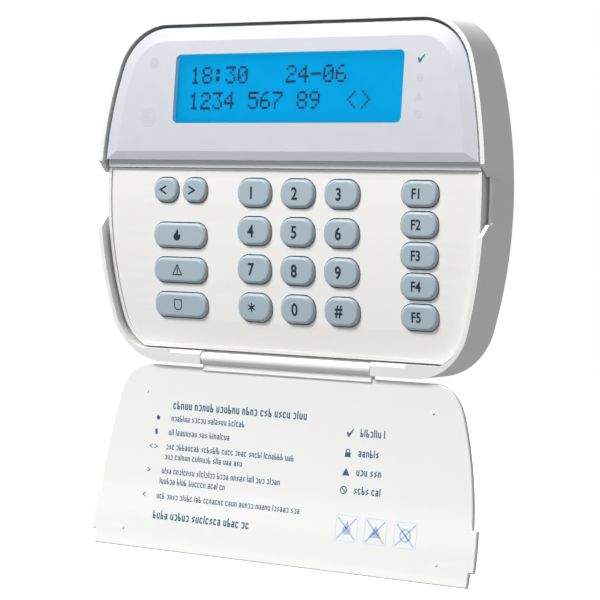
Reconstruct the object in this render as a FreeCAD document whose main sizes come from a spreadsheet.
import FreeCAD, Part
import math
import os
import re

import Sketcher
from FreeCAD import Placement, Rotation, Vector

# Alarm keypad panel: a shallow wall housing with a display, 22 keys and a drop-down door.
# Millimetres. The origin is the centre of the backplate's rear face, which lies on the wall.
# +X is to the right, +Z up, and the front looks along -Y. A depth is a distance from the wall.

os.makedirs("parts", exist_ok=True)
doc = FreeCAD.newDocument("AlarmKeypad")
sheet = doc.addObject("Spreadsheet::Sheet", "Sizes")
working = doc.addObject("Spreadsheet::Sheet", "Working")

SIZES = [
    # housing outline and its gently domed front
    ("body_width", 153.0, "overall width"),
    ("body_height", 116.0, "overall height"),
    ("body_depth", 19.2, "depth at mid height"),
    ("side_radius", 153.0, "radius of the bowed sides"),
    ("corner_radius", 21.0, "outline corner radius"),
    ("dome_radius", 460.0, "radius of the domed front, about a level axis"),
    ("shell_back", 0.3, "gap between the wall and the housing's back edge"),
    ("rim", 1.5, "housing wall, and its visible rim"),
    ("rim_gap", 1.1, "groove between the rim and the face pieces"),
    ("lip_height", 4.4, "bottom lip that holds the hinge"),
    ("recess_corner", 8.5, "lower corners of the front recess"),
    ("lip_chamfer", 1.2, "bevel along the lip's upper front edge"),
    # inner ledge that carries the face pieces
    ("ledge_depth", 10.4, "front face of the ledge"),
    ("ledge_thick", 1.4, "ledge thickness"),
    ("ledge_reach", 5.0, "ledge's inner edge, in from the outline"),
    # face plate with the key openings
    ("plate_drop", 3.2, "plate face below the domed front"),
    ("plate_thick", 1.6, "plate thickness"),
    ("border_rise", 0.45, "raised border above the plate face"),
    ("border_width", 1.1, "width of the raised border"),
    ("plate_top", 8.0, "height of the plate's upper edge"),
    ("plate_lip_gap", 0.6, "plate to bottom lip"),
    # display bezel
    ("bezel_bottom", 8.2, "height of the bezel's lower edge"),
    ("bezel_step", 2.6, "height of the step under the door's free edge"),
    ("step_drop", 2.3, "step face below the domed front"),
    ("bezel_drop", 0.1, "bezel face below the domed front"),
    ("bezel_thick", 1.8, "bezel thickness"),
    ("slope_width", 4.6, "width of the bezel's sloped border at its sides and top"),
    ("slope_low", 2.9, "width of the sloped border along the step"),
    ("slope_fall", 0.8, "fall across the sloped border"),
    ("skirt_thick", 1.6, "skirt of the plate and of the bezel"),
    # display
    ("window_width", 90.4, "window opening width"),
    ("window_height", 23.2, "window opening height"),
    ("window_mid", 34.7, "height of the window's centre"),
    ("window_corner", 1.9, "window opening corner radius"),
    ("window_drop", 0.35, "window face below the domed front"),
    ("window_thick", 1.2, "window thickness"),
    ("fit_gap", 0.1, "close fit between fixed pieces"),
    ("cell_drop", 2.7, "liquid crystal cell below the domed front"),
    ("cell_width", 94.0, "cell width"),
    ("cell_height", 27.0, "cell height"),
    ("cell_thick", 1.8, "cell thickness"),
    ("glow_thick", 1.8, "backlight thickness"),
    ("lcd_board_thick", 1.0, "display board thickness"),
    ("frame_sheet", 0.35, "display frame sheet thickness"),
    ("board_below", 3.6, "display board below its frame, for the pins"),
    ("pin_pitch", 2.54, "display pin pitch"),
    ("pin_side", 0.64, "display pin width"),
    ("pin_level", 18.6, "height of the display pins"),
    # main board
    ("board_back", 7.2, "rear face of the main board"),
    ("board_thick", 1.6, "main board thickness"),
    ("board_side", 11.5, "main board's sides in from the outline"),
    ("board_foot", 11.0, "main board's lower edge above the housing's"),
    ("board_head", 8.0, "main board's upper edge below the housing's"),
    ("boss_radius", 2.5, "screw boss radius"),
    ("pilot_radius", 1.1, "screw pilot hole radius"),
    ("screw_head", 2.3, "board screw head radius"),
    ("screw_head_tall", 1.5, "board screw head height"),
    # keys
    ("key_clear", 0.35, "key to opening, all round"),
    ("key_drop", 2.05, "key top below the domed front"),
    ("key_travel", 1.0, "key travel"),
    ("flange_over", 0.65, "retaining flange beyond the key"),
    ("flange_drop", 5.5, "flange top below the domed front, at the key's centre"),
    ("flange_thick", 0.7, "flange thickness"),
    ("plunger_radius", 2.5, "key plunger radius"),
    ("digit_width", 13.4, "digit key width"),
    ("digit_height", 9.35, "digit key height"),
    ("digit_mid", 5.0, "middle digit column"),
    ("digit_top", 0.1, "top digit row"),
    ("digit_pitch_across", 17.24, "digit column pitch"),
    ("digit_pitch_down", 12.69, "digit row pitch"),
    ("side_key_width", 13.7, "function key width"),
    ("side_key_height", 8.25, "function key height"),
    ("side_key_mid", 51.5, "function key column"),
    ("side_key_top", 0.7, "top function key"),
    ("side_key_pitch", 9.8, "function key pitch"),
    ("call_key_width", 22.1, "emergency key width"),
    ("call_key_height", 8.35, "emergency key height"),
    ("call_key_mid", -42.8, "emergency key column"),
    ("call_key_top", -14.7, "top emergency key"),
    ("call_key_pitch", 11.83, "emergency key pitch"),
    ("arrow_width", 10.1, "arrow key width"),
    ("arrow_height", 8.15, "arrow key height"),
    ("arrow_offset", 6.0, "arrow keys each side of the emergency column"),
    ("arrow_level", 0.6, "height of the arrow keys"),
    ("key_corner", 0.47, "key corner radius as a share of the key's height"),
    ("key_round", 1.1, "rounding of the key's top edge"),
    # key mat and contacts
    ("mat_thick", 0.7, "key mat thickness"),
    ("mat_margin", 2.0, "mat beyond the outermost keys"),
    ("collar_rise", 0.7, "collar round each plunger"),
    ("collar_inner", 3.1, "collar inner radius"),
    ("collar_wall", 0.8, "collar wall"),
    ("pad_radius", 2.2, "contact pad radius"),
    ("pad_thick", 0.1, "contact pad thickness"),
    ("boss_clear", 0.5, "mat to screw boss"),
    # door
    ("door_thick", 1.75, "door thickness"),
    ("door_inset", 2.0, "door edge in from the outline"),
    ("door_foot", 5.4, "closed door's lower edge above the housing's"),
    ("door_high", 10.4, "door's free edge, closed"),
    ("door_corner", 10.5, "door's lower corners"),
    ("door_round", 0.5, "rounding of the door's edges"),
    ("hinge_drop", 1.9, "hinge axis below the domed front"),
    ("hinge_foot", 2.15, "hinge axis above the housing's lower edge"),
    ("knuckle_radius", 1.95, "hinge bar radius"),
    ("knuckle_length", 67.2, "hinge bar length"),
    ("knuckle_gap", 0.3, "end gap and running gap round the hinge bar"),
    ("pin_radius", 1.0, "hinge pin radius"),
    ("pin_clear", 0.07, "radial clearance of the hinge pins"),
    ("pin_length", 2.2, "hinge pin length"),
    ("door_open", 171.0, "degrees from closed to open"),
    ("notch_high", 6.4, "upper end of the finger notches"),
    ("notch_low", -8.6, "lower end of the finger notches"),
    ("notch_depth", 13.4, "floor of the finger notches"),
    ("scoop_deep", 0.8, "scoop in the housing's side, at the notch floor"),
    ("scoop_long", 7.4, "length of the scoop, towards the wall"),
    ("tab_clear", 0.8, "door tab to notch, each end"),
    ("tab_inset", 0.3, "door tab in from the outline"),
    # backplate
    ("backplate_thick", 2.0, "backplate thickness"),
    ("backplate_gap", 0.2, "backplate to housing wall"),
    ("cable_width", 40.0, "cable opening width"),
    ("cable_low", 12.0, "cable opening lower edge"),
    ("cable_high", 36.0, "cable opening upper edge"),
    ("screw_hole", 2.2, "wall screw hole radius"),
    ("gang_spacing", 83.3, "screw spacing of a single-gang wall box"),
    ("corner_across", 110.0, "corner screw spacing, across"),
    ("corner_up", 76.0, "corner screw spacing, up"),
    # sounder, terminals, tamper switch
    ("sounder_radius", 6.0, "sounder radius"),
    ("sounder_tall", 4.0, "sounder height"),
    ("sounder_across", -55.4, "sounder centre, across"),
    ("sounder_level", 24.9, "sounder centre, height"),
    ("terminal_pitch", 5.08, "terminal pitch"),
    ("terminal_tall", 6.6, "terminal block height"),
    ("terminal_deep", 8.0, "terminal block size up the board"),
    ("terminal_low", 13.6, "lower edge of the terminal block"),
    ("tamper_across", 45.0, "tamper switch centre, across"),
    ("tamper_level", 20.0, "tamper switch centre, height"),
    ("tamper_side", 6.0, "tamper switch width"),
    ("tamper_tall", 3.4, "tamper switch height"),
    ("tamper_radius", 1.2, "tamper plunger radius"),
    ("tamper_clear", 0.05, "tamper plunger radial clearance"),
    ("tamper_travel", 0.8, "tamper plunger travel"),
    # status lights
    ("icon_across", 51.3, "status light column"),
    ("light_side", 2.0, "status light width"),
    ("light_tall", 0.8, "light height above the board"),
    ("guide_side", 2.6, "light guide pipe width"),
]

TERMINALS = 4
ICON_LEVELS = (43.3, 37.2, 31.4, 25.6)
DIGIT_ROWS = (("1", "2", "3"), ("4", "5", "6"), ("7", "8", "9"), ("star", "0", "hash"))
SIDE_KEYS = ("stay", "away", "chime", "bypass", "exit")
CALL_KEYS = ("fire", "medical", "panic")
BOARD_SCREWS = ((-62.0, 4.5), (-62.0, -40.0), (-26.0, -44.0), (34.0, -44.0), (62.0, 4.5), (62.0, -40.0))
HEADER_PINS = 16

for row, (alias, value, meaning) in enumerate(SIZES, start=1):
    sheet.set(f"A{row}", meaning)
    sheet.set(f"B{row}", str(value))
    sheet.setAlias(f"B{row}", alias)
doc.recompute()

ALIASES = re.compile(r"\b(" + "|".join(alias for alias, _, _ in SIZES) + r")\b")
ACROSS = Rotation(Vector(0, 1, 0), 90)
INTO_WALL = Rotation(Vector(1, 0, 0), -90)
nodes = {}


def size(alias):
    """A driving dimension, as a number."""
    return float(sheet.get(alias))


def expr(text):
    """An expression in which each alias reads its cell of the sheet."""
    return ALIASES.sub(r"Sizes.\1", str(text))


def number(text):
    """The present value of an expression of aliases, worked out in a sheet of its own."""
    working.set("A1", "=" + expr(text))
    working.recompute()
    return float(working.get("A1"))


def bind(solid, **properties):
    for name, text in properties.items():
        solid.setExpression(name, expr(text))
    return solid


def place(solid, x="0", y="0", z="0"):
    for axis, text in zip("xyz", (x, y, z)):
        solid.setExpression(f"Placement.Base.{axis}", expr(text))
    return solid


def box(name, x, y, z):
    """A box between two corners, each of x, y and z a pair of expressions from low to high."""
    solid = doc.addObject("Part::Box", name)
    spans = [f"({high}) - ({low})" for low, high in (x, y, z)]
    bind(solid, Length=spans[0], Width=spans[1], Height=spans[2])
    return place(solid, x[0], y[0], z[0])


def depth_box(name, x, depths, z):
    """A box whose middle pair is depths from the wall, from rear to front."""
    rear, front = depths
    return box(name, x, (f"-({front})", f"-({rear})"), z)


def post(name, x, z, radius, rear, front):
    """A round post that stands out from the wall between two depths."""
    solid = doc.addObject("Part::Cylinder", name)
    bind(solid, Radius=radius, Height=f"({front}) - ({rear})")
    solid.Placement.Rotation = INTO_WALL
    return place(solid, x, f"-({front})", z)


def bar(name, y, z, radius, low, high):
    """A round bar across the body."""
    solid = doc.addObject("Part::Cylinder", name)
    bind(solid, Radius=radius, Height=f"({high}) - ({low})")
    solid.Placement.Rotation = ACROSS
    return place(solid, low, y, z)


def dome(name, drop):
    """The solid behind the domed front, lowered by a drop."""
    return bar(name, "dome_radius - body_depth", "0", f"dome_radius - ({drop})", "-body_width", "body_width")


def fuse(name, *solids):
    joined = doc.addObject("Part::MultiFuse", name)
    joined.Shapes = list(solids)
    return joined


def common(name, *solids):
    shared = doc.addObject("Part::MultiCommon", name)
    shared.Shapes = list(solids)
    return shared


def cut(name, base, *tools):
    """Takes each tool away from the base in turn."""
    for step, tool in enumerate(tools, start=1):
        result = doc.addObject("Part::Cut", name if step == len(tools) else f"{name}_{step}")
        result.Base = base
        result.Tool = tool
        base = result
    return base


def compound(name, *solids):
    group = doc.addObject("Part::Compound", name)
    group.Links = list(solids)
    return group


def node(name, solid):
    """Names a finished sub-part. Its label is also its file's name."""
    solid.Label = name
    nodes[name] = solid
    return solid


def plane_of(body, role):
    return next(f for f in body.Origin.OriginFeatures if f.Role == role)


def front_sketch(body, name, depth):
    """A sketch that faces the front, at a depth from the wall."""
    sketch = body.newObject("Sketcher::SketchObject", name)
    sketch.AttachmentSupport = [(plane_of(body, "XZ_Plane"), "")]
    sketch.MapMode = "FlatFace"
    sketch.setExpression("AttachmentOffset.Base.z", expr(depth))
    return sketch


def limit(sketch, name, text, *constraint):
    """Adds a dimension to a sketch and ties it to the sheet."""
    index = sketch.addConstraint(Sketcher.Constraint(*constraint, number(text)))
    sketch.renameConstraint(index, name)
    sketch.setExpression(f"Constraints.{name}", expr(text))


def outline_block(name, inset, rear, front):
    """The housing's outline, moved in by an inset, as a block between two depths."""
    half_height = number(f"body_height / 2 - ({inset})")
    corner = number(f"corner_radius - ({inset})")
    side = number(f"side_radius - ({inset})")
    side_mid = number("body_width / 2 - side_radius")
    corner_up = half_height - corner
    corner_out = side_mid + math.sqrt((side - corner) ** 2 - corner_up**2)
    turn = math.atan2(corner_up, corner_out - side_mid)

    body = doc.addObject("PartDesign::Body", name)
    sketch = front_sketch(body, name + "_outline", rear)
    top = Vector(0, 0, 1)

    def arc(x, y, radius, start, end):
        circle = Part.Circle(Vector(x, y, 0), top, radius)
        return Part.ArcOfCircle(circle, start, end)

    quarter = math.pi / 2
    edges = [
        arc(side_mid, 0, side, -turn, turn),
        arc(corner_out, corner_up, corner, turn, quarter),
        Part.LineSegment(Vector(corner_out, half_height, 0), Vector(-corner_out, half_height, 0)),
        arc(-corner_out, corner_up, corner, quarter, math.pi - turn),
        arc(-side_mid, 0, side, math.pi - turn, math.pi + turn),
        arc(-corner_out, -corner_up, corner, math.pi + turn, 3 * quarter),
        Part.LineSegment(Vector(-corner_out, -half_height, 0), Vector(corner_out, -half_height, 0)),
        arc(corner_out, -corner_up, corner, -quarter, -turn),
    ]
    sketch.addGeometry(edges, False)
    for here in range(8):
        sketch.addConstraint(Sketcher.Constraint("Tangent", here, 2, (here + 1) % 8, 1))
    sketch.addConstraint(Sketcher.Constraint("Equal", 0, 4))
    for other in (3, 5, 7):
        sketch.addConstraint(Sketcher.Constraint("Equal", 1, other))
    sketch.addConstraint(Sketcher.Constraint("Horizontal", 2))
    sketch.addConstraint(Sketcher.Constraint("Horizontal", 6))
    sketch.addConstraint(Sketcher.Constraint("PointOnObject", 0, 3, -1))
    sketch.addConstraint(Sketcher.Constraint("PointOnObject", 4, 3, -1))
    limit(sketch, "side", f"side_radius - ({inset})", "Radius", 0)
    limit(sketch, "corner", f"corner_radius - ({inset})", "Radius", 1)
    limit(sketch, "right_mid", "side_radius - body_width / 2", "DistanceX", 0, 3, -1, 1)
    limit(sketch, "left_mid", "side_radius - body_width / 2", "DistanceX", -1, 1, 4, 3)
    limit(sketch, "top", f"body_height / 2 - ({inset})", "DistanceY", -1, 1, 2, 1)
    limit(sketch, "bottom", f"body_height / 2 - ({inset})", "DistanceY", 6, 1, -1, 1)

    pad = body.newObject("PartDesign::Pad", name + "_pad")
    pad.Profile = sketch
    pad.setExpression("Length", expr(f"({front}) - ({rear})"))
    body.Tip = pad
    return body


def rounded_block(name, x, z, width, height, corner, rear, front):
    """A rounded rectangle between two depths, about a centre."""
    w, h, r = number(width) / 2, number(height) / 2, number(corner)
    body = doc.addObject("PartDesign::Body", name)
    sketch = front_sketch(body, name + "_profile", rear)
    cx, cz = number(x), number(z)
    up = Vector(0, 0, 1)

    def point(px, pz):
        return Vector(cx + px, cz + pz, 0)

    def arc(px, pz, start):
        return Part.ArcOfCircle(Part.Circle(point(px, pz), up, r), start, start + math.pi / 2)

    edges = [
        Part.LineSegment(point(w, r - h), point(w, h - r)),
        arc(w - r, h - r, 0),
        Part.LineSegment(point(w - r, h), point(r - w, h)),
        arc(r - w, h - r, math.pi / 2),
        Part.LineSegment(point(-w, h - r), point(-w, r - h)),
        arc(r - w, r - h, math.pi),
        Part.LineSegment(point(r - w, -h), point(w - r, -h)),
        arc(w - r, r - h, -math.pi / 2),
    ]
    sketch.addGeometry(edges, False)
    for here in range(8):
        sketch.addConstraint(Sketcher.Constraint("Tangent", here, 2, (here + 1) % 8, 1))
    sketch.addConstraint(Sketcher.Constraint("Vertical", 0))
    sketch.addConstraint(Sketcher.Constraint("Vertical", 4))
    sketch.addConstraint(Sketcher.Constraint("Horizontal", 2))
    sketch.addConstraint(Sketcher.Constraint("Horizontal", 6))
    for other in (3, 5):
        sketch.addConstraint(Sketcher.Constraint("Equal", 1, other))
    limit(sketch, "corner", corner, "Radius", 1)
    for label, text, along, start, end in (
        ("right", f"({x}) + ({width}) / 2", "DistanceX", -1, 0),
        ("left", f"({x}) - ({width}) / 2", "DistanceX", -1, 4),
        ("top", f"({z}) + ({height}) / 2", "DistanceY", -1, 2),
        ("bottom", f"({z}) - ({height}) / 2", "DistanceY", -1, 6),
    ):
        limit(sketch, label, text, along, start, 1, end, 1)
    pad = body.newObject("PartDesign::Pad", name + "_pad")
    pad.Profile = sketch
    pad.setExpression("Length", expr(f"({front}) - ({rear})"))
    body.Tip = pad
    return body


def round_edges(name, solid, radius, chosen):
    """Rounds the edges that a test picks."""
    doc.recompute()
    picked = [i for i, edge in enumerate(solid.Shape.Edges, start=1) if chosen(edge)]
    if not picked:
        raise ValueError(f"{name}: no edge to round")
    rounded = doc.addObject("Part::Fillet", name)
    rounded.Base = solid
    rounded.Edges = [(i, radius, radius) for i in picked]
    solid.Visibility = False
    return rounded


def front_edges(solid):
    """Picks the edges round a solid's foremost face."""
    doc.recompute()
    foremost = min(solid.Shape.Faces, key=lambda face: face.CenterOfMass.y)
    return lambda edge: any(edge.isSame(other) for other in foremost.Edges)


def bevel_edges(name, solid, chosen):
    """Bevels edges, each by the two widths that a test gives for it, or not where it gives none."""
    doc.recompute()
    widths = [(i, chosen(edge)) for i, edge in enumerate(solid.Shape.Edges, start=1)]
    bevelled = doc.addObject("Part::Chamfer", name)
    bevelled.Base = solid
    bevelled.Edges = [(i, *pair) for i, pair in widths if pair]
    return bevelled


def lower_corner(level):
    """Picks the edges that run from front to back at one height."""

    def chosen(edge):
        if edge.Curve.TypeId != "Part::GeomLine":
            return False
        direction = edge.Curve.Direction
        return abs(direction.y) > 0.99 and abs(edge.CenterOfMass.z - level) < 0.05

    return chosen


# Depth of the domed front at a height, as an expression.
def dome_at(z):
    return f"(body_depth - dome_radius + sqrt(dome_radius ^ 2 - ({z}) ^ 2))"


FRONT = "body_depth + 4"
LIP_TOP = "(lip_height - body_height / 2)"
HINGE_LEVEL = "(hinge_foot - body_height / 2)"
HINGE_DEPTH = f"({dome_at(HINGE_LEVEL)} - hinge_drop)"
DOOR_LOW = "(door_foot - body_height / 2)"
BOARD_LOW = "(board_foot - body_height / 2)"
BOARD_HIGH = "(body_height / 2 - board_head)"


# ---------------------------------------------------------------- housing shell


def make_front_shell():
    outside = common("shell_outside", outline_block("shell_block", "0", "shell_back", FRONT), dome("shell_dome", "0"))
    recess_wide = outline_block("recess_block", "rim", "ledge_depth", FRONT + " + 1")
    above_lip = depth_box(
        "recess_above_lip",
        ("-body_width", "body_width"),
        ("ledge_depth", FRONT + " + 1"),
        (LIP_TOP, "body_height"),
    )
    recess = round_edges(
        "recess",
        common("recess_square", recess_wide, above_lip),
        size("recess_corner"),
        lower_corner(number(LIP_TOP)),
    )
    cavity = outline_block("shell_cavity", "rim", "shell_back - 1", "ledge_depth - ledge_thick")
    through = outline_block("ledge_opening", "ledge_reach", "0", FRONT)
    through_high = common(
        "ledge_opening_above_lip",
        through,
        depth_box(
            "ledge_above_lip",
            ("-body_width", "body_width"),
            ("0", FRONT),
            (LIP_TOP, "body_height"),
        ),
    )
    pocket = depth_box(
        "hinge_pocket",
        ("-knuckle_length / 2 - knuckle_gap", "knuckle_length / 2 + knuckle_gap"),
        (f"{HINGE_DEPTH} - knuckle_radius - knuckle_gap", FRONT),
        ("-body_height", f"{LIP_TOP} + 1"),
    )
    pin_bores = bar(
        "pin_bores",
        f"-{HINGE_DEPTH}",
        HINGE_LEVEL,
        "pin_radius + pin_clear",
        "-knuckle_length / 2 - pin_length - 2 * knuckle_gap",
        "knuckle_length / 2 + pin_length + 2 * knuckle_gap",
    )
    bevel = box(
        "lip_bevel",
        ("-body_width / 2", "body_width / 2"),
        ("0", "2 * lip_chamfer"),
        ("0", "2 * lip_chamfer"),
    )
    bevel.Placement.Rotation = Rotation(Vector(1, 0, 0), 45)
    lip_top = LIP_TOP
    place(bevel, "-body_width / 2", f"-{dome_at(lip_top)}", f"{lip_top} - lip_chamfer")
    low_bevel = common("lip_bevel_low", bevel, recess_below())
    shell = cut("shell_cut", outside, recess, cavity, through_high, pocket, pin_bores, low_bevel, *notches())
    node("front_shell", shell)


def recess_below():
    """The stretch of lip that the bevel runs along."""
    return depth_box(
        "bevel_stretch",
        ("-body_width / 2 + corner_radius + recess_corner", "body_width / 2 - corner_radius - recess_corner"),
        ("0", FRONT),
        ("-body_height", "0"),
    )


def notches():
    """Finger gaps in both sides of the rim, each with sloping ends and a scoop behind it."""
    tools = []
    for side, low, high in (("right", "body_width / 2 - rim - 1", "body_width"),
                            ("left", "-body_width", "-body_width / 2 + rim + 1")):
        gap = depth_box(f"notch_{side}", (low, high), ("notch_depth", FRONT), ("notch_low", "notch_high"))
        slope_top = box(f"notch_slope_top_{side}", (low, high), ("-3", "3"), ("-3", "3"))
        slope_low = box(f"notch_slope_low_{side}", (low, high), ("-3", "3"), ("-3", "3"))
        for slope, level in ((slope_top, "notch_high - 0.3"), (slope_low, "notch_low + 0.3")):
            slope.Placement.Rotation = Rotation(Vector(1, 0, 0), 45)
            place(slope, low, f"-{dome_at(level)}", f"{level} - 4.243")
        tools += [gap, slope_top, slope_low]
    return tools + scoops()


def scoops():
    """Shallow sloping hollows in the housing's sides, behind the finger gaps."""
    tools = []
    lean = math.degrees(math.atan(size("scoop_deep") / size("scoop_long")))
    for side, sign in (("right", 1), ("left", -1)):
        wedge = box(f"scoop_{side}", ("0", "body_depth / 4"), ("0", "scoop_long * 1.2"), ("notch_low + 0.7", "notch_high - 0.7"))
        wedge.Placement.Rotation = Rotation(Vector(0, 0, 1), -sign * lean)
        x = f"{sign} * (body_width / 2 - scoop_deep)"
        y = "-notch_depth - 0.5"
        if sign < 0:
            x += " - body_depth / 4 * cos(atan(scoop_deep / scoop_long))"
            y += " - body_depth / 4 * sin(atan(scoop_deep / scoop_long))"
        tools.append(place(wedge, x, y, "notch_low + 0.7"))
    return tools


# ---------------------------------------------------------------- face plate and bezel


def face_piece(name, top, bottom, drop, thick):
    """A domed face with a skirt that stands on the housing's ledge."""
    edge = "rim + rim_gap"
    span = depth_box(
        name + "_span",
        ("-body_width", "body_width"),
        ("ledge_depth", FRONT),
        (bottom, top),
    )
    outer = common(
        name + "_outer",
        outline_block(name + "_block", edge, "ledge_depth", FRONT),
        span,
        dome(name + "_face", drop),
    )
    inner_span = depth_box(
        name + "_inner_span",
        ("-body_width", "body_width"),
        ("ledge_depth - 1", FRONT),
        (f"({bottom}) + skirt_thick", f"({top}) - skirt_thick"),
    )
    hollow = common(
        name + "_hollow",
        outline_block(name + "_inner_block", edge + " + skirt_thick", "ledge_depth - 1", FRONT),
        inner_span,
        dome(name + "_underside", f"({drop}) + ({thick})"),
    )
    return outer, hollow


def make_keypad_plate():
    bottom = f"{LIP_TOP} + plate_lip_gap"
    ridge_drop = "plate_drop - border_rise"
    outer, hollow = face_piece("plate", "plate_top", bottom, ridge_drop, "plate_thick + border_rise")
    field_span = depth_box(
        "field_span",
        ("-body_width", "body_width"),
        ("ledge_depth", FRONT),
        (f"{bottom} + border_width", "plate_top + 1"),
    )
    field = cut(
        "key_field",
        common(
            "field_block",
            outline_block("field_outline", "rim + rim_gap + border_width", "ledge_depth", FRONT),
            field_span,
        ),
        dome("field_face", "plate_drop"),
    )
    openings = [
        rounded_block(
            f"opening_{key['name']}",
            key["x"],
            key["z"],
            f"{key['width']} + 2 * key_clear",
            f"{key['height']} + 2 * key_clear",
            f"{key['height']} * key_corner + key_clear",
            "ledge_depth",
            FRONT,
        )
        for key in keys()
    ]
    skin = cut("plate_skin", outer, hollow, field, compound("openings", *openings))
    posts = common(
        "plate_posts",
        compound("plate_post_set", *[
            post(f"boss_{i}", x, z, "boss_radius", "board_back + board_thick", FRONT)
            for i, (x, z) in enumerate(BOARD_SCREWS)
        ]),
        dome("post_tops", "plate_drop + plate_thick / 2"),
    )
    pilots = [
        post(f"pilot_{i}", x, z, "pilot_radius", "board_back", "board_back + board_thick + 3.6")
        for i, (x, z) in enumerate(BOARD_SCREWS)
    ]
    node("keypad_plate", cut("plate_drilled", fuse("plate_with_posts", skin, posts), compound("pilots", *pilots)))


def make_display_bezel():
    top = "body_height / 2 - rim - rim_gap"
    step_top = "bezel_bottom + bezel_step"
    square, hollow = face_piece("bezel", top, step_top, "bezel_drop", "bezel_thick")
    is_front = front_edges(square)

    def slope(edge):
        if not is_front(edge):
            return None
        across, fall = size("slope_width"), size("slope_fall")
        along_step = edge.CenterOfMass.z < number(step_top) + 1
        return (size("slope_low"), fall) if along_step else (fall, across)

    sloped = bevel_edges("bezel_sloped", square, slope)
    step = common(
        "step_block",
        outline_block("step_outline", "rim + rim_gap", "ledge_depth", FRONT),
        depth_box(
            "step_span",
            ("-body_width", "body_width"),
            ("ledge_depth", FRONT),
            ("bezel_bottom", f"{step_top} + skirt_thick / 2"),
        ),
        dome("step_face", "step_drop"),
    )
    step_hollow = common(
        "step_hollow_long",
        outline_block("step_hollow_outline", "rim + rim_gap + skirt_thick", "ledge_depth - 1", FRONT),
        depth_box(
            "step_hollow_span",
            ("-body_width", "body_width"),
            ("ledge_depth - 1", FRONT),
            ("bezel_bottom - 1", f"{step_top} + 1"),
        ),
        dome("step_hollow_face", "step_drop + bezel_thick / 2"),
    )
    opening = rounded_block(
        "window_opening", "0", "window_mid", "window_width", "window_height", "window_corner", "ledge_depth - 1", FRONT
    )
    whole = fuse("bezel_whole", cut("bezel_skin", sloped, hollow), cut("step_skin", step, step_hollow))
    node("display_bezel", cut("bezel_with_window", whole, opening))


# ---------------------------------------------------------------- display


def make_display():
    window = common(
        "window_clipped",
        rounded_block(
            "window_block",
            "0",
            "window_mid",
            "window_width - 2 * fit_gap",
            "window_height - 2 * fit_gap",
            "window_corner - fit_gap",
            "ledge_depth",
            FRONT,
        ),
        dome("window_face", "window_drop"),
    )
    node("display_window", cut("window_lens", window, dome("window_back", "window_drop + window_thick")))

    # The display module leans back with the front, about the window's centre.
    lean = math.degrees(math.asin(size("window_mid") / size("dome_radius")))
    face_y = f"-({dome_at('window_mid')} - cell_drop)"

    def module(name, width, height, rear, front, below="0"):
        """A slab of the display module, between two distances behind the cell's front face."""
        slab = box(name, ("0", width), ("0", f"({rear}) - ({front})"), ("0", f"({height}) + ({below})"))
        slab.Placement.Rotation = Rotation(Vector(1, 0, 0), -lean)
        up = f"(-({height}) / 2 - ({below}))"
        tilt = "asin(window_mid / dome_radius)"
        y = f"{face_y} + ({front}) * cos({tilt}) + {up} * sin({tilt})"
        z = f"window_mid + {up} * cos({tilt}) - ({front}) * sin({tilt})"
        return place(slab, f"-({width}) / 2", y, z)

    def pin_set(name, side, rear, front):
        """A row of square pins, or of the holes they go through."""
        first = f"(-{HEADER_PINS - 1} / 2 * pin_pitch)"
        return compound(name, *[
            depth_box(
                f"{name}_{i}",
                (f"{first} + pin_pitch * {i} - ({side}) / 2", f"{first} + pin_pitch * {i} + ({side}) / 2"),
                (rear, front),
                (f"pin_level - ({side}) / 2", f"pin_level + ({side}) / 2"),
            )
            for i in range(HEADER_PINS)
        ])

    node("lcd_glass", module("cell", "cell_width", "cell_height", "cell_thick", "0"))
    glow_rear = "cell_thick + glow_thick"
    node("lcd_backlight", module("glow", "cell_width - 1", "cell_height - 1", glow_rear, "cell_thick"))
    board_rear = f"{glow_rear} + lcd_board_thick"
    frame_width = "cell_width + 2 * (fit_gap + frame_sheet)"
    frame_height = "cell_height + 2 * (fit_gap + frame_sheet)"
    board = module("lcd_board_slab", frame_width, frame_height, board_rear, glow_rear, "board_below")
    pin_holes = pin_set("pin_hole", "pin_side + 2 * fit_gap", "board_back", FRONT)
    node("lcd_board", cut("lcd_board_drilled", board, pin_holes))
    can = module("frame_can", frame_width, frame_height, glow_rear, "-frame_sheet")
    inside = module(
        "frame_inside", "cell_width + 2 * fit_gap", "cell_height + 2 * fit_gap", f"{glow_rear} + 1", "0"
    )
    sight = module("frame_sight", "window_width + 1", "window_height + 1", "1", "-frame_sheet - 1")
    node("lcd_frame", cut("frame_cut", can, inside, sight))
    base = depth_box(
        "header_base",
        (f"-{HEADER_PINS} / 2 * pin_pitch", f"{HEADER_PINS} / 2 * pin_pitch"),
        ("board_back + board_thick", "board_back + board_thick + 1.4"),
        ("pin_level - pin_pitch / 2", "pin_level + pin_pitch / 2"),
    )
    pins = pin_set("pin", "pin_side", "board_back + board_thick", "board_back + board_thick + 4.6")
    node("lcd_header", fuse("header_joined", base, pins))


# ---------------------------------------------------------------- keys, mat and contacts


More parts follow.
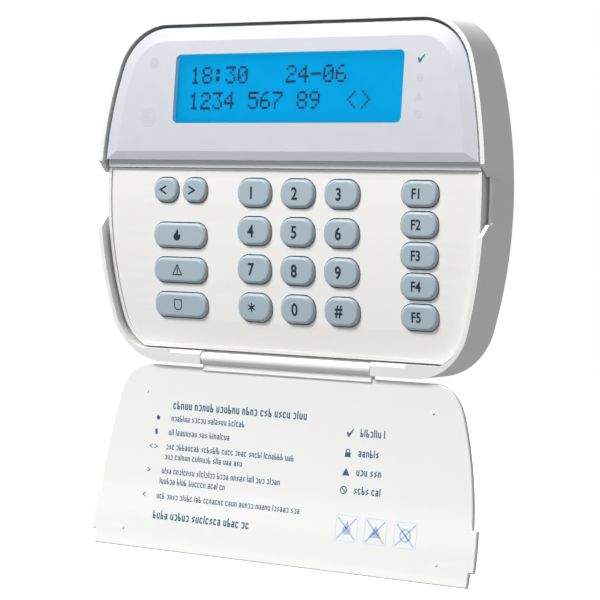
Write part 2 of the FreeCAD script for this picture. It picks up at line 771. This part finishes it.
def keys():
    """Name, centre and size of every key, as expressions."""
    found = []
    for down, names in enumerate(DIGIT_ROWS):
        for across, name in enumerate(names):
            found.append({
                "name": f"key_{name}",
                "x": f"(digit_mid + digit_pitch_across * ({across - 1}))",
                "z": f"(digit_top - digit_pitch_down * {down})",
                "width": "digit_width",
                "height": "digit_height",
            })
    for down, name in enumerate(SIDE_KEYS):
        found.append({
            "name": f"key_{name}",
            "x": "side_key_mid",
            "z": f"(side_key_top - side_key_pitch * {down})",
            "width": "side_key_width",
            "height": "side_key_height",
        })
    for down, name in enumerate(CALL_KEYS):
        found.append({
            "name": f"key_{name}",
            "x": "call_key_mid",
            "z": f"(call_key_top - call_key_pitch * {down})",
            "width": "call_key_width",
            "height": "call_key_height",
        })
    for name, side in (("left", "-"), ("right", "+")):
        found.append({
            "name": f"key_{name}",
            "x": f"(call_key_mid {side} arrow_offset)",
            "z": "arrow_level",
            "width": "arrow_width",
            "height": "arrow_height",
        })
    return found


def make_key(key):
    name, x, z = key["name"], key["x"], key["z"]
    flange_top = f"{dome_at(z)} - flange_drop"
    flange_rear = f"{flange_top} - flange_thick"
    square = common(
        name + "_cap_domed",
        rounded_block(
            name + "_cap", x, z, key["width"], key["height"], f"{key['height']} * key_corner", flange_rear, FRONT
        ),
        dome(name + "_top", "key_drop"),
    )
    cap = round_edges(name + "_cap_rounded", square, size("key_round"), front_edges(square))
    flange = rounded_block(
        name + "_flange",
        x,
        z,
        f"{key['width']} + 2 * flange_over",
        f"{key['height']} + 2 * flange_over",
        f"{key['height']} * key_corner + flange_over",
        flange_rear,
        flange_top,
    )
    plunger = post(name + "_plunger", x, z, "plunger_radius", PLUNGER_END, f"{flange_rear} + flange_thick / 2")
    node(name, fuse(name + "_joined", cap, flange, plunger))


BOARD_FRONT = "board_back + board_thick"
PLUNGER_END = f"{BOARD_FRONT} + pad_thick + key_travel + 0.1"


def make_keys():
    for key in keys():
        make_key(key)


def make_key_mat():
    mat_front = f"{BOARD_FRONT} + mat_thick"
    left = "call_key_mid - call_key_width / 2 - mat_margin"
    right = "side_key_mid + side_key_width / 2 + mat_margin"
    low = "side_key_top - 4 * side_key_pitch - side_key_height / 2 - mat_margin"
    high = "arrow_level + arrow_height / 2 + mat_margin"
    sheet_body = rounded_block(
        "mat_sheet",
        f"({left} + {right}) / 2",
        f"({low} + {high}) / 2",
        f"{right} - ({left})",
        f"{high} - ({low})",
        "3",
        BOARD_FRONT,
        mat_front,
    )
    collars, wells = [], []
    for key in keys():
        radius = "collar_inner + collar_wall"
        collars.append(post(f"collar_{key['name']}", key["x"], key["z"], radius, BOARD_FRONT, f"{mat_front} + collar_rise"))
        wells.append(post(f"well_{key['name']}", key["x"], key["z"], "collar_inner", "board_back", FRONT))
    lamp_holes = [
        post(f"lamp_hole_{i}", x, z, "light_side * 0.8", "board_back", FRONT) for i, (x, z) in enumerate(key_lamps())
    ]
    boss_holes = [
        post(f"boss_hole_{i}", x, z, "boss_radius + boss_clear", "board_back", FRONT)
        for i, (x, z) in enumerate(BOARD_SCREWS)
    ]
    holes = compound("mat_holes", *wells, *lamp_holes)
    mat = cut("mat_cut", fuse("mat_joined", sheet_body, *collars), holes, compound("boss_holes", *boss_holes))
    node("key_mat", mat)
    pads = [
        post(f"pad_{key['name']}", key["x"], key["z"], "pad_radius", BOARD_FRONT, f"{BOARD_FRONT} + pad_thick")
        for key in keys()
    ]
    node("contact_pads", compound("pads", *pads))
    lamps = [
        depth_box(
            f"key_lamp_{i}",
            (f"{x} - light_side / 2", f"{x} + light_side / 2"),
            (BOARD_FRONT, f"{BOARD_FRONT} + light_tall"),
            (f"{z} - light_side / 3", f"{z} + light_side / 3"),
        )
        for i, (x, z) in enumerate(key_lamps())
    ]
    node("key_leds", compound("lamps", *lamps))


def key_lamps():
    """Lamps between the keys: two columns in the digit field and one beside each other column."""
    found = []
    for down in range(4):
        level = f"(digit_top - digit_pitch_down * {down})"
        for across in (-0.5, 0.5):
            found.append((f"(digit_mid + digit_pitch_across * ({across}))", level))
    for column in ("(call_key_mid + call_key_width / 2 - 3)", "(call_key_mid - call_key_width / 2 + 3)"):
        for down in (0.5, 1.5):
            found.append((column, f"(call_key_top - call_key_pitch * {down})"))
    for down in (0.5, 2.5):
        found.append(("(side_key_mid - side_key_width / 2 + 0.4)", f"(side_key_top - side_key_pitch * {down})"))
    return found


# ---------------------------------------------------------------- boards and their parts


def make_main_board():
    board = rounded_block(
        "board_slab",
        "0",
        f"({BOARD_LOW} + {BOARD_HIGH}) / 2",
        "body_width - 2 * board_side",
        f"{BOARD_HIGH} - {BOARD_LOW}",
        "16",
        "board_back",
        BOARD_FRONT,
    )
    holes = [
        post(f"board_hole_{i}", x, z, "pilot_radius + 0.3", "0", FRONT) for i, (x, z) in enumerate(BOARD_SCREWS)
    ]
    node("main_board", cut("board_drilled", board, compound("board_holes", *holes)))
    screws = []
    for i, (x, z) in enumerate(BOARD_SCREWS):
        head = post(f"screw_head_{i}", x, z, "screw_head", "board_back - screw_head_tall", "board_back")
        shank = post(f"screw_shank_{i}", x, z, "pilot_radius", "board_back - 0.2", f"{BOARD_FRONT} + 3.2")
        slot_across = depth_box(
            f"screw_slot_a_{i}",
            (f"{x} - screw_head * 0.6", f"{x} + screw_head * 0.6"),
            ("0", "board_back - screw_head_tall / 2"),
            (f"{z} - 0.3", f"{z} + 0.3"),
        )
        slot_up = depth_box(
            f"screw_slot_b_{i}",
            (f"{x} - 0.3", f"{x} + 0.3"),
            ("0", "board_back - screw_head_tall / 2"),
            (f"{z} - screw_head * 0.6", f"{z} + screw_head * 0.6"),
        )
        screws.append(cut(f"screw_{i}", fuse(f"screw_body_{i}", head, shank), slot_across, slot_up))
    node("board_screws", compound("screws", *screws))


def rear_part(name, x, z, wide, high, tall):
    """A component on the rear of the main board."""
    return depth_box(
        name,
        (f"{x} - {wide} / 2", f"{x} + {wide} / 2"),
        (f"board_back - {tall}", "board_back"),
        (f"{z} - {high} / 2", f"{z} + {high} / 2"),
    )


def make_board_parts():
    chip = rear_part("chip_body", "-30", "-12", "12", "12", "1.4")
    pins = []
    for i in range(-5, 6):
        step = f"{i} * 0.9"
        for side in (-1, 1):
            pins.append(rear_part(f"chip_pin_x{i + 5}{side + 1}", f"-30 + {side * 6.5}", f"-12 + {step}", "1.4", "0.4", "0.5"))
            pins.append(rear_part(f"chip_pin_z{i + 5}{side + 1}", f"-30 + {step}", f"-12 + {side * 6.5}", "0.4", "1.4", "0.5"))
    node("controller_chip", fuse("chip", chip, *pins))
    node("crystal", fuse(
        "crystal_can",
        rear_part("crystal_middle", "-14", "-12", "7", "3.6", "2.8"),
        post("crystal_end_a", "-17.5", "-12", "1.8", "board_back - 2.8", "board_back"),
        post("crystal_end_b", "-10.5", "-12", "1.8", "board_back - 2.8", "board_back"),
    ))
    node("regulator", fuse(
        "regulator_joined",
        rear_part("regulator_body", "24", "6", "6.6", "6.1", "2.3"),
        rear_part("regulator_tab", "24", "10", "5.4", "2.4", "0.6"),
        rear_part("regulator_leg_a", "21.7", "1.8", "0.8", "2.8", "0.5"),
        rear_part("regulator_leg_b", "26.3", "1.8", "0.8", "2.8", "0.5"),
    ))
    cans = []
    for i, (x, z) in enumerate((("34", "4"), ("34", "-5"), ("-30", "8"))):
        can = post(f"can_body_{i}", x, z, "3.15", "board_back - 4.6", "board_back - 0.4")
        foot = rear_part(f"can_foot_{i}", x, z, "6.6", "6.6", "0.5")
        cans.append(fuse(f"can_{i}", can, foot))
    node("capacitors", compound("cans", *cans))


def make_terminals():
    wide = f"({TERMINALS} * terminal_pitch)"
    block = depth_box(
        "terminal_body",
        (f"-{wide} / 2", f"{wide} / 2"),
        ("board_back - terminal_tall", "board_back"),
        ("terminal_low", "terminal_low + terminal_deep"),
    )
    wells, entries, screws = [], [], []
    for i in range(TERMINALS):
        x = f"(terminal_pitch * ({i - (TERMINALS - 1) / 2}))"
        z = "terminal_low + terminal_deep * 0.6"
        rear = "board_back - terminal_tall"
        wells.append(post(f"terminal_well_{i}", x, z, "1.9", rear + " - 1", rear + " + 2"))
        entries.append(depth_box(
            f"terminal_entry_{i}",
            (f"{x} - 1.3", f"{x} + 1.3"),
            (f"{rear} + 2.6", f"{rear} + 5.2"),
            ("terminal_low - 1", "terminal_low + terminal_deep * 0.5"),
        ))
        head = post(f"terminal_screw_head_{i}", x, z, "1.7", rear + " + 0.7", rear + " + 2")
        slot = depth_box(f"terminal_slot_{i}", (f"{x} - 2", f"{x} + 2"), (rear, rear + " + 1.3"), (f"{z} - 0.3", f"{z} + 0.3"))
        screws.append(cut(f"terminal_screw_{i}", head, slot))
    node("terminal_block", cut("terminal_cut", block, *wells, *entries))
    node("terminal_screws", compound("terminal_screw_set", *screws))


def make_tamper_switch():
    rear = "board_back - tamper_tall"
    case = rear_part("tamper_case", "tamper_across", "tamper_level", "tamper_side", "tamper_side", "tamper_tall")
    bore = post(
        "tamper_bore",
        "tamper_across",
        "tamper_level",
        "tamper_radius + tamper_clear",
        f"{rear} - 1",
        "board_back - 0.5",
    )
    node("tamper_switch", cut("tamper_cut", case, bore))
    tip = "backplate_thick + 0.3"
    node("tamper_plunger", post(
        "tamper_pin",
        "tamper_across",
        "tamper_level",
        "tamper_radius",
        tip,
        "board_back - 0.5 - tamper_travel - 0.2",
    ))


def make_sounder():
    can = post("sounder_can", "sounder_across", "sounder_level", "sounder_radius", BOARD_FRONT, f"{BOARD_FRONT} + sounder_tall")
    port = post("sounder_port", "sounder_across", "sounder_level", "1", f"{BOARD_FRONT} + sounder_tall - 1", FRONT)
    node("sounder", cut("sounder_cut", can, port))


def make_status_lights():
    lights, pipes = [], []
    for i, level in enumerate(ICON_LEVELS):
        lights.append(depth_box(
            f"status_light_{i}",
            ("icon_across - light_side / 2", "icon_across + light_side / 2"),
            (BOARD_FRONT, f"{BOARD_FRONT} + light_tall"),
            (f"{level} - light_side / 3", f"{level} + light_side / 3"),
        ))
        pipes.append(depth_box(
            f"guide_pipe_{i}",
            ("icon_across - guide_side / 2", "icon_across + guide_side / 2"),
            (f"{BOARD_FRONT} + light_tall + 0.2", f"{dome_at(level)} - bezel_drop - bezel_thick - 0.5"),
            (f"{level} - guide_side / 2", f"{level} + guide_side / 2"),
        ))
    web = depth_box(
        "guide_web",
        ("icon_across + guide_side / 2 - 0.6", "icon_across + guide_side / 2 + 0.8"),
        (f"{BOARD_FRONT} + 1.6", f"{BOARD_FRONT} + 3"),
        (f"{ICON_LEVELS[-1]}", f"{ICON_LEVELS[0]}"),
    )
    node("status_leds", compound("status_lights", *lights))
    node("light_guide", fuse("guide", web, *pipes))


# ---------------------------------------------------------------- backplate and door


def make_backplate():
    plate = outline_block("backplate_block", "rim + backplate_gap", "0", "backplate_thick")
    cable = depth_box(
        "cable_opening",
        ("-cable_width / 2", "cable_width / 2"),
        ("-1", "backplate_thick + 1"),
        ("cable_low", "cable_high"),
    )
    centres = [("0", "gang_spacing / 2"), ("0", "-gang_spacing / 2")]
    centres += [(f"{a}corner_across / 2", f"{b}corner_up / 2") for a in ("", "-") for b in ("", "-")]
    holes = [
        post(f"wall_hole_{i}", x, z, "screw_hole", "-1", "backplate_thick + 1") for i, (x, z) in enumerate(centres)
    ]
    hooks = []
    for i, (side, level) in enumerate(((-1, 1), (1, 1), (-1, -1), (1, -1))):
        edge = f"{level} * (body_height / 2 - rim - backplate_gap - 0.6)"
        low, high = (f"{edge} - 1.8", edge) if level > 0 else (edge, f"{edge} + 1.8")
        hooks.append(depth_box(
            f"hook_{i}",
            (f"{side} * 34 - 4", f"{side} * 34 + 4"),
            ("backplate_thick / 2", "ledge_depth - ledge_thick - 0.2"),
            (low, high),
        ))
    node("backplate", cut("backplate_cut", fuse("backplate_joined", plate, *hooks), cable, compound("wall_holes", *holes)))


def make_door():
    """Modelled closed over the keys, then turned about the hinge to hang open."""
    closed = common(
        "door_field",
        outline_block("door_outline", "door_inset", "ledge_depth", FRONT),
        depth_box("door_span", ("-body_width", "body_width"), ("ledge_depth", FRONT), (DOOR_LOW, "door_high")),
    )
    rounded = round_edges("door_rounded", closed, size("door_corner"), lower_corner(number(DOOR_LOW)))
    tabs = common(
        "door_tabs",
        outline_block("tab_outline", "tab_inset", "ledge_depth", FRONT),
        compound("tab_spans", *[
            depth_box(
                f"tab_span_{side}",
                (low, high),
                ("ledge_depth", FRONT),
                ("notch_low + tab_clear", "notch_high - tab_clear"),
            )
            for side, low, high in (
                ("right", "body_width / 2 - 6", "body_width"),
                ("left", "-body_width", "-body_width / 2 + 6"),
            )
        ]),
    )
    skin = common(
        "door_skin",
        fuse("door_plan", rounded, tabs),
        cut("door_shell", dome("door_outside", "0"), dome("door_inside", "door_thick")),
    )
    doc.recompute()
    broad = sorted(skin.Shape.Faces, key=lambda face: -face.Area)[:2]
    skin = round_edges(
        "door_soft", skin, size("door_round"), lambda edge: any(edge.isSame(o) for face in broad for o in face.Edges)
    )
    knuckle = bar(
        "knuckle", f"-{HINGE_DEPTH}", HINGE_LEVEL, "knuckle_radius", "-knuckle_length / 2", "knuckle_length / 2"
    )
    pins = bar(
        "hinge_pins",
        f"-{HINGE_DEPTH}",
        HINGE_LEVEL,
        "pin_radius",
        "-knuckle_length / 2 - pin_length",
        "knuckle_length / 2 + pin_length",
    )
    arm = common(
        "knuckle_arm",
        depth_box(
            "arm_block",
            ("-knuckle_length / 2", "knuckle_length / 2"),
            (f"{HINGE_DEPTH} + 0.1", dome_at(DOOR_LOW)),
            (HINGE_LEVEL, f"{DOOR_LOW} + 1"),
        ),
        dome("arm_face", "0"),
    )
    nubs = [
        post(f"nub_{i}", x, z, "0.5", f"{dome_at(z)} - door_thick - 0.3", f"{dome_at(z)} - door_thick / 2")
        for i, (x, z) in enumerate(DOOR_NUBS)
    ]
    door = fuse("door_joined", skin, knuckle, pins, arm, *nubs)
    doc.recompute()
    axis = Vector(0, -number(HINGE_DEPTH), number(HINGE_LEVEL))
    turn = Placement(Vector(0, 0, 0), Rotation(Vector(1, 0, 0), size("door_open")), axis)
    door.Placement = turn
    node("door", door)


DOOR_NUBS = (("-57", "-43.4"), ("57", "-43.4"), ("-62.5", "4"), ("62.5", "4"))


def check():
    """Stops if any object failed or any sub-part's shape is empty or broken."""
    problems = [f"{o.Label}: {o.State}" for o in doc.Objects if {"Invalid", "Error"} & set(o.State)]
    for name, solid in nodes.items():
        if solid.Shape.isNull() or not solid.Shape.isValid() or not solid.Shape.Solids:
            problems.append(f"{name}: no valid solid")
    if problems:
        raise RuntimeError("; ".join(problems))


def export():
    for name, solid in nodes.items():
        solid.Shape.exportStep(os.path.join("parts", name + ".step"))


make_backplate()
make_front_shell()
make_keypad_plate()
make_display_bezel()
make_display()
make_main_board()
make_key_mat()
make_board_parts()
make_terminals()
make_tamper_switch()
make_sounder()
make_status_lights()
make_keys()
make_door()
doc.recompute()
check()
export()
print(len(nodes), "sub-parts written")
